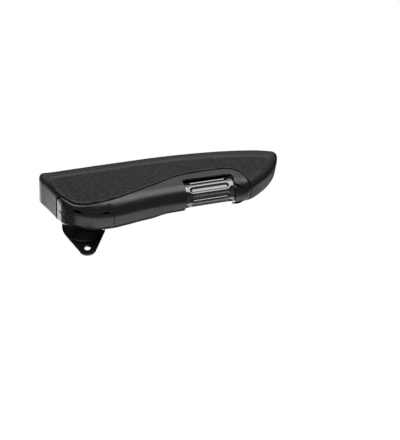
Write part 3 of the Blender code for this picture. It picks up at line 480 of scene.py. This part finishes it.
def rollToSeam(tree, reach, depth, normal):  # the surface rounds over towards the seam
    away = put(tree, "Attribute", attribute_name="seamDistance").outputs["Fac"]
    limits = {0: away, 1: 0.0, 2: reach, 3: 0.0, 4: 1.0}
    rolled = put(tree, "MapRange", limits, interpolation_type="SMOOTHSTEP").outputs[0]
    return bump(tree, 1.0, depth, rolled, Normal=normal)


def grey(value, warm=0.0):
    return (value * (1 + warm), value, value * (1 - warm), 1.0)


def newFinish(name, **constants):
    made = bpy.data.materials.new(name)
    made.use_nodes = True
    shader = made.node_tree.nodes["Principled BSDF"]
    for label, value in constants.items():
        shader.inputs[label.replace("_", " ")].default_value = value
    place = put(made.node_tree, "TexCoord").outputs["Object"]
    return made, made.node_tree, shader, place


foamLook = {
    "dark": 0.012,
    "light": 0.018,
    "dust": 0.10,
    "panelRoughness": 0.50,
    "skinRoughness": 0.44,
    "pebbleScale": 330.0,  # pebbles to the metre
    "pebbleDepth": 0.0008,
    "poreDepth": 0.00010,
    "poreScale": 1900.0,
    # colour and share of the painted shade that darkens the grain's creases
    "crease": 0.010,
    "creaseShadeShare": 0.45,
    "seamRoll": 0.0016,
    "seamReach": 0.0028,
}
dustColour = grey(0.16, 0.05)


def setColourAndGloss(tree, shader, colour, gloss, dust, dulling):  # dust pales the colour and dulls the gloss
    tree.links.new(mixColour(tree, dust, colour, dustColour), shader.inputs["Base Color"])
    dulled = maths(tree, "ADD", gloss, maths(tree, "MULTIPLY", dust, dulling))
    tree.links.new(dulled, shader.inputs["Roughness"])


def uneven(tree, value, share, middle):
    return maths(tree, "MULTIPLY_ADD", maths(tree, "SUBTRACT", value, 0.5), share, middle)


def foamFinish():
    look = foamLook
    made, tree, shader, place = newFinish(
        "integral skin foam", Specular_IOR_Level=0.32, Sheen_Weight=0.05, Sheen_Roughness=0.4)
    panel = put(tree, "Attribute", attribute_name="panelShare").outputs["Fac"]
    tone = useGroup(tree, slowTone, place, Scale=16.0)
    dust = useGroup(tree, dustFilm, place, Amount=look["dust"])
    pebble = useGroup(tree, pebbleGrain, place, Scale=look["pebbleScale"], Softness=0.42)
    pores = useGroup(tree, fineTexture, place, Scale=look["poreScale"])
    base = mixColour(tree, tone, grey(look["dark"]), grey(look["light"]))
    # painted shade: the panels' colour is darkened in the creases between the pebbles
    creaseShadeMask = maths(tree, "MULTIPLY", panel, maths(tree, "SUBTRACT", 1.0, pebble))
    shaded = remap(tree, creaseShadeMask, 0.0, 1.0, 0.0, look["creaseShadeShare"])
    creaseShadedBase = mixColour(tree, shaded, base, grey(look["crease"]))
    gloss = remap(tree, panel, 0.0, 1.0, look["skinRoughness"], look["panelRoughness"])
    setColourAndGloss(tree, shader, creaseShadedBase, uneven(tree, tone, 0.10, gloss), dust, 0.5)
    grain = bump(tree, 1.0, look["pebbleDepth"], maths(tree, "MULTIPLY", pebble, panel))
    skin = bump(tree, 0.6, look["poreDepth"], pores, Normal=grain)
    tree.links.new(rollToSeam(tree, look["seamReach"], look["seamRoll"], skin), shader.inputs["Normal"])
    return made


def mouldedFinish(name, dark, light, roughness, texture, relief, wear, dusty, seamRoll=0.0, **constants):
    made, tree, shader, place = newFinish(name, **constants)
    tone = useGroup(tree, slowTone, place, Scale=20.0)
    dust = useGroup(tree, dustFilm, place, Amount=dusty)
    rubbed = useGroup(tree, edgeWear, place, Amount=wear)
    fine = useGroup(tree, fineTexture, place, Scale=texture)
    base = mixColour(tree, tone, grey(dark), grey(light))
    edged = mixColour(tree, rubbed, base, grey(light * 4 + 0.02))
    setColourAndGloss(tree, shader, edged, uneven(tree, tone, roughness * 0.3, roughness), dust, 0.4)
    normal = bump(tree, 0.8, relief, fine)
    if seamRoll:
        normal = rollToSeam(tree, 0.0022, seamRoll, normal)
    tree.links.new(normal, shader.inputs["Normal"])
    return made


def metalFinish(name, dark, light, roughness, texture, relief, warm=0.0, metallic=1.0):
    made, tree, shader, place = newFinish(name, Metallic=metallic)
    tone = useGroup(tree, slowTone, place, Scale=60.0)
    rubbed = useGroup(tree, edgeWear, place, Amount=0.5)
    fine = useGroup(tree, fineTexture, place, Scale=texture)
    base = mixColour(tree, tone, grey(dark, warm), grey(light, warm))
    edged = mixColour(tree, rubbed, base, grey(min(light * 1.25, 0.9), warm))
    tree.links.new(edged, shader.inputs["Base Color"])
    tree.links.new(uneven(tree, fine, 0.25, roughness), shader.inputs["Roughness"])
    tree.links.new(bump(tree, 0.5, relief, fine), shader.inputs["Normal"])
    return made


# texture is grains to the metre, relief their depth in metres
foam = foamFinish()
trimPlastic = mouldedFinish(
    "textured black plastic", dark=0.010, light=0.015, roughness=0.33, texture=1400.0, relief=0.00008,
    wear=0.25, dusty=0.08, seamRoll=0.0012, Specular_IOR_Level=0.55)
glossPlastic = mouldedFinish(
    "polished black plastic", dark=0.010, light=0.014, roughness=0.20, texture=420.0, relief=0.00003,
    wear=0.1, dusty=0.03, Coat_Weight=1.0, Coat_Roughness=0.12, Coat_IOR=2.0)
platePaint = mouldedFinish(
    "black stove enamel", dark=0.005, light=0.009, roughness=0.20, texture=700.0, relief=0.00005,
    wear=0.35, dusty=0.04, Coat_Weight=0.5, Coat_Roughness=0.12)
naturalAcetal = mouldedFinish(
    "natural acetal", dark=0.55, light=0.66, roughness=0.38, texture=900.0, relief=0.00003,
    wear=0.0, dusty=0.05)
zincPlate = metalFinish("zinc plate", dark=0.42, light=0.60, roughness=0.28, texture=900.0, relief=0.00004)
darkSteel = metalFinish(
    "phosphated steel", dark=0.05, light=0.09, roughness=0.42, texture=1200.0, relief=0.00005, metallic=0.85)
machinedBrass = metalFinish(
    "machined brass", dark=0.45, light=0.62, roughness=0.25, texture=700.0, relief=0.00004, warm=0.3)
print("finishes made")


padShape = {
    "seamGap": 0.45 * mm,
    "panelDepth": 1.6 * mm,  # how far the grained panels lie below their border
    "panelStep": 3.6 * mm,
    "panelLift": 3.2 * mm,  # border between the seam and the panel
    "beadHeight": 1.0 * mm,
    "beadPlace": 1.9 * mm,
    "beadWidth": 1.3 * mm,
    "crown": 1.3 * mm,
    "unevenness": 0.22 * mm,
    "waviness": 28,  # waves to the metre
    "skinDepth": 13 * mm,
    "recessFrontX": 245 * mm,
    "recessRoom": 3.6 * mm,
    "noseRecessZ": 15 * mm,
    "hubRadius": 19 * mm,
    "hubDepth": 8 * mm,
}


def panelOutline():
    seam = [(x, z) for x, z in seamLine() if -31 * mm < x < frontX + 24 * mm and z > -30 * mm]
    lower = [(x, z + padShape["panelLift"]) for x, z in seam if x > -26 * mm]
    top = [(-42 * mm, 42 * mm), (-39 * mm, 45 * mm), (0, 45.5 * mm), (59 * mm, 47 * mm), (110 * mm, 48.5 * mm)]
    top += [(160 * mm, 48 * mm), (211 * mm, 45 * mm), (262 * mm, 38 * mm), (296 * mm, 30.5 * mm)]
    front = [(300 * mm, 27 * mm), (292 * mm, 15 * mm), (274 * mm, 0), (258 * mm, -12 * mm)]
    rear = [(-30 * mm, 3 * mm), (-36.5 * mm, 17 * mm)]
    return top + front + lower[::-1] + rear


def depthBelow(points):  # which side each point is on, and how far it lies below that side's face
    side = np.where(points[:, 1] > middleY, 1, -1)
    return side, halfWidth(points[:, 0], side) - np.abs(points[:, 1] - middleY)


def finePanel(mesh):
    p = padShape
    points = pointsOf(mesh)
    flat = points[:, [0, 2]]
    side, below = depthBelow(points)
    atFace = 1 - ease(below, 0.2 * mm, 2.5 * mm)
    outline = panelOutline()
    near = lineDistance(flat, outline, closed=True)
    signed = np.where(insideOf(flat, outline), near, -near)  # above zero inside the panel
    recess = p["panelDepth"] * ease(signed, -0.5 * mm, p["panelStep"])
    bead = p["beadHeight"] * np.exp(-((signed + p["beadPlace"]) / p["beadWidth"]) ** 2)
    points[:, 1] -= side * atFace * (recess - bead * (signed < 0))
    across = (points[:, 1] - middleY) / halfWidth(points[:, 0], side)
    isTop = ease(points[:, 2], 25 * mm, 45 * mm)
    points[:, 2] -= isTop * p["crown"] * across ** 2
    wave = np.array([noise.noise(Vector(point) * p["waviness"]) for point in points])
    x, z = points[:, 0], points[:, 2]
    outer = (below < p["skinDepth"]) | (z > 40 * mm) | (x > frontX + 30 * mm) | (x < -30 * mm)
    points[:, 1] -= side * atFace * (0.5 + 0.5 * wave) * p["unevenness"]
    points[:, 2] -= isTop * outer * (0.5 + 0.5 * wave) * p["unevenness"]
    writePoints(mesh, points)
    keepValue(mesh, "panelShare", ease(signed, 0.3 * mm, 3.0 * mm) * atFace)
    keepValue(mesh, "seamDistance", lineDistance(flat, seamLine()))


def makePad():
    p = padShape
    pad = armSkin("armPadFoam")
    low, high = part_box("arm_frame")
    y0, y1, z1 = low.y - 0.5 * mm, high.y + 0.5 * mm, high.z + p["recessRoom"]
    recess = boxBetween("recess", (low.x - 4 * mm, y0, -0.2), (p["recessFrontX"], y1, z1))
    nose = boxBetween("nose recess", (frontX, y0, p["noseRecessZ"]), (high.x + 0.5 * mm, y1, z1))
    hub = extrude("hub", circle(p["hubRadius"], 64), "Y", low.y - p["hubDepth"], 40 * mm)
    carve(pad, [underSeam(p["seamGap"]), recess, nose, hub])
    finePanel(pad.data)
    finishPiece(pad, 50, foam)
    return pad


armPad = makePad()
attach(armPad, "arm")
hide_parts("arm_pad")
print("pad made,", len(armPad.data.polygons), "faces")


trimShape = {
    "wall": 2.5 * mm,
    "hollowFrontX": 244 * mm,
    "seamGap": 0.45 * mm,
    "windowTopZ": 3.5 * mm,
    "windowGap": 0.9 * mm,
    "windowCorner": 6 * mm,
    "windowRearCorner": 1.5 * mm,
    "belowZ": -80 * mm,  # cutters start below everything
    "lipWidth": 5.0 * mm,
    "lipDepth": 0.7 * mm,
    "lipStep": 2.2 * mm,
    "lipFadeX": (45 * mm, 95 * mm),
}
coverShape = {
    "halfWidth": 14.5 * mm,
    "frontX": 37 * mm,
    "pointX": -38 * mm,
    "shoulderX": -21 * mm,
    "slotX": (-15 * mm, 25 * mm),
    "slotLength": 10.5 * mm,
    "slotWidth": 4.4 * mm,
    "slotTopZ": -8 * mm,
    "gap": 0.6 * mm,
    "inset": 0.4 * mm,
}


def coverPlan(widen):
    c = coverShape
    side, front = c["halfWidth"] + widen, c["frontX"] + widen
    return [
        (c["pointX"] - widen * 2, middleY), (c["shoulderX"], middleY - side), (front, middleY - side),
        (front, middleY + side), (c["shoulderX"], middleY + side),
    ]


def slotCutters():
    c = coverShape
    radius = c["slotWidth"] / 2 - 0.01 * mm
    reach = c["slotLength"] / 2 - radius
    made = []
    for x in c["slotX"]:
        for side in (-1, 1):
            y = middleY + side * c["halfWidth"]
            outline = arc(x + reach, y, radius, -math.pi / 2, math.pi, 7)
            outline += arc(x - reach, y, radius, math.pi / 2, math.pi, 7)
            made.append(extrude("slot", outline, "Z", trimShape["belowZ"], c["slotTopZ"]))
    return made


def windowCutter():
    t = trimShape
    low, top = t["belowZ"], t["windowTopZ"]
    x0, x1 = rearX - t["windowGap"], frontX + t["windowGap"]
    front, rear = t["windowCorner"], t["windowRearCorner"]
    outline = [(x0, low), (x1, low)] + arc(x1 - front, top - front, front, 0, math.pi / 2, 9)
    outline += arc(x0 + rear, top - rear, rear, math.pi / 2, math.pi / 2, 5)
    return extrude("window", outline, "Y", -0.2, 0.1)


def lipAndSeam(mesh):
    t = trimShape
    points = pointsOf(mesh)
    away = lineDistance(points[:, [0, 2]], seamLine())
    side, below = depthBelow(points)
    atWall = 1 - ease(below, 4 * mm, 9 * mm)
    fade = 1 - ease(points[:, 0], *t["lipFadeX"])
    lip = t["lipDepth"] * ease(away, t["lipWidth"], t["lipWidth"] + t["lipStep"]) * atWall * fade
    points[:, 1] -= side * lip
    writePoints(mesh, points)
    keepValue(mesh, "seamDistance", away)


def makeTrim():
    t, c = trimShape, coverShape
    trim = armSkin("underTrim")
    carve(trim, [underSeam(-t["seamGap"])], "INTERSECT")
    cover = addObject("hubCover", trim.data.copy())
    coarse = {"inset": t["wall"], "rings": 6, "steps": 6, "fine": False}
    opening = extrude("cover opening", coverPlan(c["gap"]), "Z", t["belowZ"], 1 * mm)
    limit = extrude("cover limit", coverPlan(-c["inset"]), "Z", t["belowZ"], 0.5 * mm)
    hollow = armSkin("hollow", frontLimit=t["hollowFrontX"], **coarse)
    carve(trim, [hollow, opening, windowCutter()] + slotCutters())
    carve(cover, [limit], "INTERSECT")
    carve(cover, [armSkin("hollow", **coarse)] + slotCutters())
    for piece in (trim, cover):
        lipAndSeam(piece.data)
        finishPiece(piece, 40, trimPlastic)
    return trim, cover


underTrim, hubCover = makeTrim()
for piece, node in ((underTrim, "underside_trim"), (hubCover, "pivot_cover")):
    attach(piece, "arm")
    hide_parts(node)
print("trim and cover made,", len(underTrim.data.polygons), len(hubCover.data.polygons), "faces")


wheelShape = {
    "radius": 19.4 * mm,
    "bore": 5.3 * mm,
    "recesses": 8,
    "recessWidth": 8.5 * mm,
    "recessDepth": 2.2 * mm,
    "recessEnd": 9 * mm,
    "barWidth": 6.7 * mm,
    "barCrown": 0.9 * mm,
    "edge": 1.8 * mm,
    "edgeSteps": 4,
    "endFace": 4 * mm,
    "waist": 0.35 * mm,
    "waistFrom": (4 * mm, 6.5 * mm),
    "turnSteps": 160,
    "lengthSteps": 100,
}


def makeWheel():
    w = wheelShape
    length = frontX - rearX
    halfStraight = length / 2 - w["recessEnd"] - w["recessWidth"] / 2
    xs = np.linspace(w["edge"], length - w["edge"], w["lengthSteps"])
    pitch = 2 * math.pi / w["recesses"]
    shape = bmesh.new()
    rings = []
    turns = 2 * math.pi * np.arange(w["turnSteps"]) / w["turnSteps"]
    edgeTurns = [math.pi / 2 * k / w["edgeSteps"] for k in range(1, w["edgeSteps"])]

    def ring(x, radii):
        spots = zip(middleY + radii * np.cos(turns), wheelZ + radii * np.sin(turns))
        rings.append([shape.verts.new((rearX + x, y, z)) for y, z in spots])

    def edgeRing(x, turn, inward):
        ring(x + inward * w["edge"] * (1 - math.cos(turn)), full - w["edge"] * (1 - math.sin(turn)))

    full = np.full(w["turnSteps"], w["radius"])
    ring(0, full * 0 + w["bore"])
    ring(0, full - w["edge"] - w["endFace"])
    ring(0, full - w["edge"])
    for turn in edgeTurns:
        edgeRing(0, turn, 1)
    # distance along the rim from the middle of the nearest recess
    local = (turns / pitch - np.floor(turns / pitch) - 0.5) * pitch * w["radius"]
    for x in xs:
        alongX = max(abs(x - length / 2) - halfStraight, 0)
        signed = w["recessWidth"] / 2 - np.sqrt(alongX ** 2 + local ** 2)
        depth = w["recessDepth"] * ease(signed, -0.3 * mm, 1.8 * mm)
        barShare = np.clip(1 + signed / (w["barWidth"] / 2), 0, 1)
        rim = -w["barCrown"] * barShare ** 2
        waist = w["waist"] * ease(np.array(min(x, length - x)), *w["waistFrom"])
        ring(x, full - depth + rim - waist)
    for turn in reversed(edgeTurns):
        edgeRing(length, turn, -1)
    ring(length, full - w["edge"])
    ring(length, full - w["edge"] - w["endFace"])
    ring(length, full * 0 + w["bore"])
    for k in range(len(rings)):
        joinRows(shape, rings[k], rings[(k + 1) % len(rings)])
    return addObject("tiltWheel", meshFrom("tiltWheel", shape, 60), glossPlastic)


tiltWheel = makeWheel()
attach(tiltWheel, "adjuster_wheel")
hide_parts("handwheel")
print("handwheel made")


plateShape = {
    "thickness": 3 * mm,
    "holeSpacing": 88 * mm,
    "holeRadius": 4.5 * mm,
    "earRadius": 13.5 * mm,
    "bodyRadius": 33 * mm,
    "lean": math.radians(-5.7),
    "dishRadius": 29.5 * mm,
    "floorRadius": 15 * mm,
    "dishDepth": 11.5 * mm,
    "rollOut": 1.2 * mm,  # where the dish's wall turns flat
    "studHole": 5.3 * mm,
    "edge": 0.8 * mm,
    "edgeSteps": 3,
    "broken": 0.35 * mm,
    "turnSteps": 240,
}


def plateReach(turns):  # distance from the middle to the plate's outline in each direction
    p = plateShape
    reach = p["holeSpacing"] / 2
    spread = math.acos((p["bodyRadius"] - p["earRadius"]) / reach)
    outline = []
    for turn in (math.pi / 2, -math.pi / 2):
        ear = reach * math.cos(turn), reach * math.sin(turn)
        outline += arc(*ear, p["earRadius"], turn - spread, 2 * spread, 33)
        outline += arc(0, 0, p["bodyRadius"], turn + spread, math.pi - 2 * spread, 17)
    spots = np.array(outline)
    lean = p["lean"]
    spots = spots @ np.array([[math.cos(lean), math.sin(lean)], [-math.sin(lean), math.cos(lean)]])
    found = []
    for turn in turns:
        d = np.array([math.cos(turn), math.sin(turn)])
        best = 0
        for i in range(len(spots)):
            a = spots[i - 1]
            e = spots[i] - a
            det = d[0] * -e[1] + e[0] * d[1]
            if abs(det) < 1e-12:
                continue
            away = (a[0] * -e[1] + e[0] * a[1]) / det
            along = (d[0] * a[1] - d[1] * a[0]) / det
            if -1e-9 <= along <= 1 + 1e-9 and away > 0:
                best = max(best, away)
        found.append(best)
    return np.array(found)


def makePlate():
    p = plateShape
    turns = 2 * math.pi * np.arange(p["turnSteps"]) / p["turnSteps"]
    rim = plateReach(turns)
    depth, wall, edge = p["dishDepth"], p["thickness"], p["edge"]
    hole, flat, dish, rolled = p["studHole"], p["floorRadius"], p["dishRadius"], p["dishRadius"] + p["rollOut"]
    inside = smoothCurve([  # radius and y, from the stud hole out
        (hole, -depth), (flat, -depth), (flat + 3 * mm, -depth + 1.2 * mm),
        (dish - 6 * mm, -depth * 0.42), (dish - 2 * mm, -0.8 * mm), (rolled, 0),
    ], 6)
    outside = smoothCurve([
        (rolled, -wall), (dish - 3 * mm, -depth * 0.42 - 2 * mm), (flat + 5 * mm, -depth - 1.2 * mm),
        (flat + 1.2 * mm, -depth - wall), (hole, -depth - wall),
    ], 6)
    shape = bmesh.new()
    rows = []

    def row(radii, y):
        rows.append([shape.verts.new((r * math.cos(t), y, r * math.sin(t))) for r, t in zip(radii, turns)])

    inner = np.full(len(turns), rolled)
    edgeTurns = [math.pi / 2 * k / p["edgeSteps"] for k in range(p["edgeSteps"] + 1)]
    for radius, y in inside:
        row(np.full(len(turns), radius), y)
    for share in (0.25, 0.5, 0.75, 1.0):
        row(inner + (rim - edge - inner) * share, 0)
    for turn in edgeTurns[1:]:
        row(rim - edge * (1 - math.sin(turn)), -edge * (1 - math.cos(turn)))
    for turn in edgeTurns[:-1]:
        row(rim - edge * (1 - math.cos(turn)), -wall + edge * (1 - math.sin(turn)))
    for share in (1.0, 0.75, 0.5, 0.25):
        row(inner + (rim - edge - inner) * share, -wall)
    for radius, y in outside:
        row(np.full(len(turns), radius), y)
    for k in range(len(rows)):
        joinRows(shape, rows[k], rows[(k + 1) % len(rows)])
    plate = addObject("seatPlate", meshFrom("seatPlate", shape, 40))
    holes = []
    for side in (-1, 1):
        a = -math.sin(p["lean"]) * side * p["holeSpacing"] / 2
        b = math.cos(p["lean"]) * side * p["holeSpacing"] / 2
        holes.append(extrude("hole", circle(p["holeRadius"], 40, a, b), "Y", -8 * mm, 8 * mm))
    carve(plate, holes)
    soften(plate, p["broken"], 50)
    finishPiece(plate, 45, platePaint)
    return plate


seatPlate = makePlate()
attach(seatPlate, "seat_mount")
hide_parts("mount_plate")
print("plate made")


nutShape = {
    "flats": 17 * mm,
    "bore": 5.25 * mm,
    "turn": 20,  # degrees
    "coneDrop": 1.4 * mm,
    "coneInset": 0.3 * mm,
    "coneSides": 48,
    "broken": 0.25 * mm,
}


def makeNut():
    n = nutShape
    low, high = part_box("mount_nut")
    corner = n["flats"] / math.sqrt(3)
    hexagon = []
    for k in range(6):
        turn = math.radians(n["turn"] + 60 * k)
        hexagon.append((corner * math.cos(turn), corner * math.sin(turn)))
    nut = extrude("centreNut", hexagon, "Y", low.y, high.y)
    shape = bmesh.new()
    base, top, wide = low.y - 1 * mm, high.y + 0.001 * mm, corner + 1 * mm
    narrow, shoulder = n["flats"] / 2 - n["coneInset"], high.y - n["coneDrop"]
    cone = [(0, base), (wide, base), (wide, shoulder), (narrow, top), (0, top)]
    sides = n["coneSides"]
    rings = []
    for radius, y in cone:
        count = sides if radius else 1
        turns = [2 * math.pi * i / sides for i in range(count)]
        rings.append([shape.verts.new((radius * math.cos(t), y, radius * math.sin(t))) for t in turns])
    for first, second in zip(rings, rings[1:]):
        for i in range(sides):
            j = (i + 1) % sides
            corners = [row[k % len(row)] for row, k in ((first, i), (first, j), (second, j), (second, i))]
            shape.faces.new(list(dict.fromkeys(corners)))  # a triangle where a ring is one point
    carve(nut, [addObject("nut cone", meshFrom("nut cone", shape))], "INTERSECT")
    carve(nut, [extrude("nut bore", circle(n["bore"], 40), "Y", -0.05, 0.05)])
    soften(nut, n["broken"], 30)
    finishPiece(nut, 30, zincPlate)
    return nut


centreNut = makeNut()
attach(centreNut, "seat_mount")
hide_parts("mount_nut")
print("nut made")


# the CAD pieces that stay take the finish of their slot
finishOfSlot = {
    "foam": foam,
    "trim_plastic": trimPlastic,
    "gloss_plastic": glossPlastic,
    "paint": platePaint,
    "zinc": zincPlate,
    "phosphated_steel": darkSteel,
    "brass": machinedBrass,
    "acetal": naturalAcetal,
}
for row in frame["record"]["subparts"]:
    setFinish(frame["nodes"][row["node"]], finishOfSlot[row["material_slot"]])
print("CAD pieces finished")


studio = {
    "floorZ": -1.3,
    "floorSize": 40,
    "floorColour": 0.30,
    "floorGlow": 0.92,
    "ambient": 0.05,
    "target": (0.12, -0.045, 0.015),
}
softboxes = {  # place, width, height and power of each
    "keySoftbox": ((0.26, -1.03, 0.15), 1.3, 0.85, 12.0),
    "highSoftbox": ((0.26, -0.68, 0.80), 1.3, 0.6, 2.2),
    "lowFill": ((0.05, 0.9, -0.78), 1.6, 0.6, 4.4),
    "rearSide": ((-1.1, 0.35, 0.25), 0.6, 0.8, 4.2),
    "seatSide": ((-0.25, 1.1, 0.75), 1.3, 0.9, 14.0),
    "seatFront": ((0.95, 0.85, -0.1), 0.9, 0.7, 2.4),
}
view = {
    "place": (-0.2402, -1.1310, -0.9984),
    "right": (0.95112, -0.09998, -0.29220),
    "down": (-0.15002, 0.67746, -0.72010),
    "into": (0.26995, 0.72873, 0.62935),
    "lens": 81.83,
    "sensor": 36,
    "clip": (0.05, 60),
}


def makeFloor():
    shape = bmesh.new()
    bmesh.ops.create_grid(shape, x_segments=24, y_segments=24, size=studio["floorSize"])
    floor = addObject("floorSheet", meshFrom("floorSheet", shape))
    floor.location.z = studio["floorZ"]
    made, tree, shader, place = newFinish("pale floor", Roughness=0.7)
    tone = useGroup(tree, slowTone, place, Scale=0.8)
    shade = studio["floorColour"]
    tree.links.new(mixColour(tree, tone, grey(shade), grey(shade + 0.03)), shader.inputs["Base Color"])
    shader.inputs["Emission Color"].default_value = grey(studio["floorGlow"])
    path = put(tree, "LightPath").outputs["Is Camera Ray"]
    tree.links.new(path, shader.inputs["Emission Strength"])  # an evenly lit sweep
    floor.data.materials.append(made)


def makeWorld():
    world = bpy.data.worlds.new("pale studio")
    scene.world = world
    world.use_nodes = True
    tree = world.node_tree
    back = tree.nodes["Background"]
    path = put(tree, "LightPath").outputs["Is Camera Ray"]
    strength = maths(tree, "MULTIPLY_ADD", path, 1.0 - studio["ambient"], studio["ambient"])
    tree.links.new(strength, back.inputs["Strength"])  # white to the camera, dim to the surfaces
    back.inputs["Color"].default_value = (1, 1, 1, 1)


def makeLight(name, position, width, height, power):
    data = bpy.data.lights.new(name, "AREA")
    data.shape = "RECTANGLE"
    data.size, data.size_y = width, height
    data.energy = power
    lamp = bpy.data.objects.new(name, data)
    scene.collection.objects.link(lamp)
    lamp.location = position
    lamp.visible_camera = False
    lamp.rotation_mode = "QUATERNION"
    lamp.rotation_quaternion = (Vector(studio["target"]) - Vector(position)).to_track_quat("-Z", "Y")


def makeCamera():
    data = bpy.data.cameras.new("viewCamera")
    data.lens = view["lens"]
    data.sensor_width = view["sensor"]
    data.clip_start, data.clip_end = view["clip"]
    camera = bpy.data.objects.new("viewCamera", data)
    scene.collection.objects.link(camera)
    right, down, into = (Vector(view[axis]) for axis in ("right", "down", "into"))
    turn = Matrix((right, -down, -into)).transposed()
    camera.matrix_world = Matrix.Translation(view["place"]) @ turn.to_4x4()
    scene.camera = camera


makeFloor()
makeWorld()
for name, (place, width, height, power) in softboxes.items():
    makeLight(name, place, width, height, power)
makeCamera()
scene.view_settings.view_transform = "Standard"
print("stage, lights and camera set")
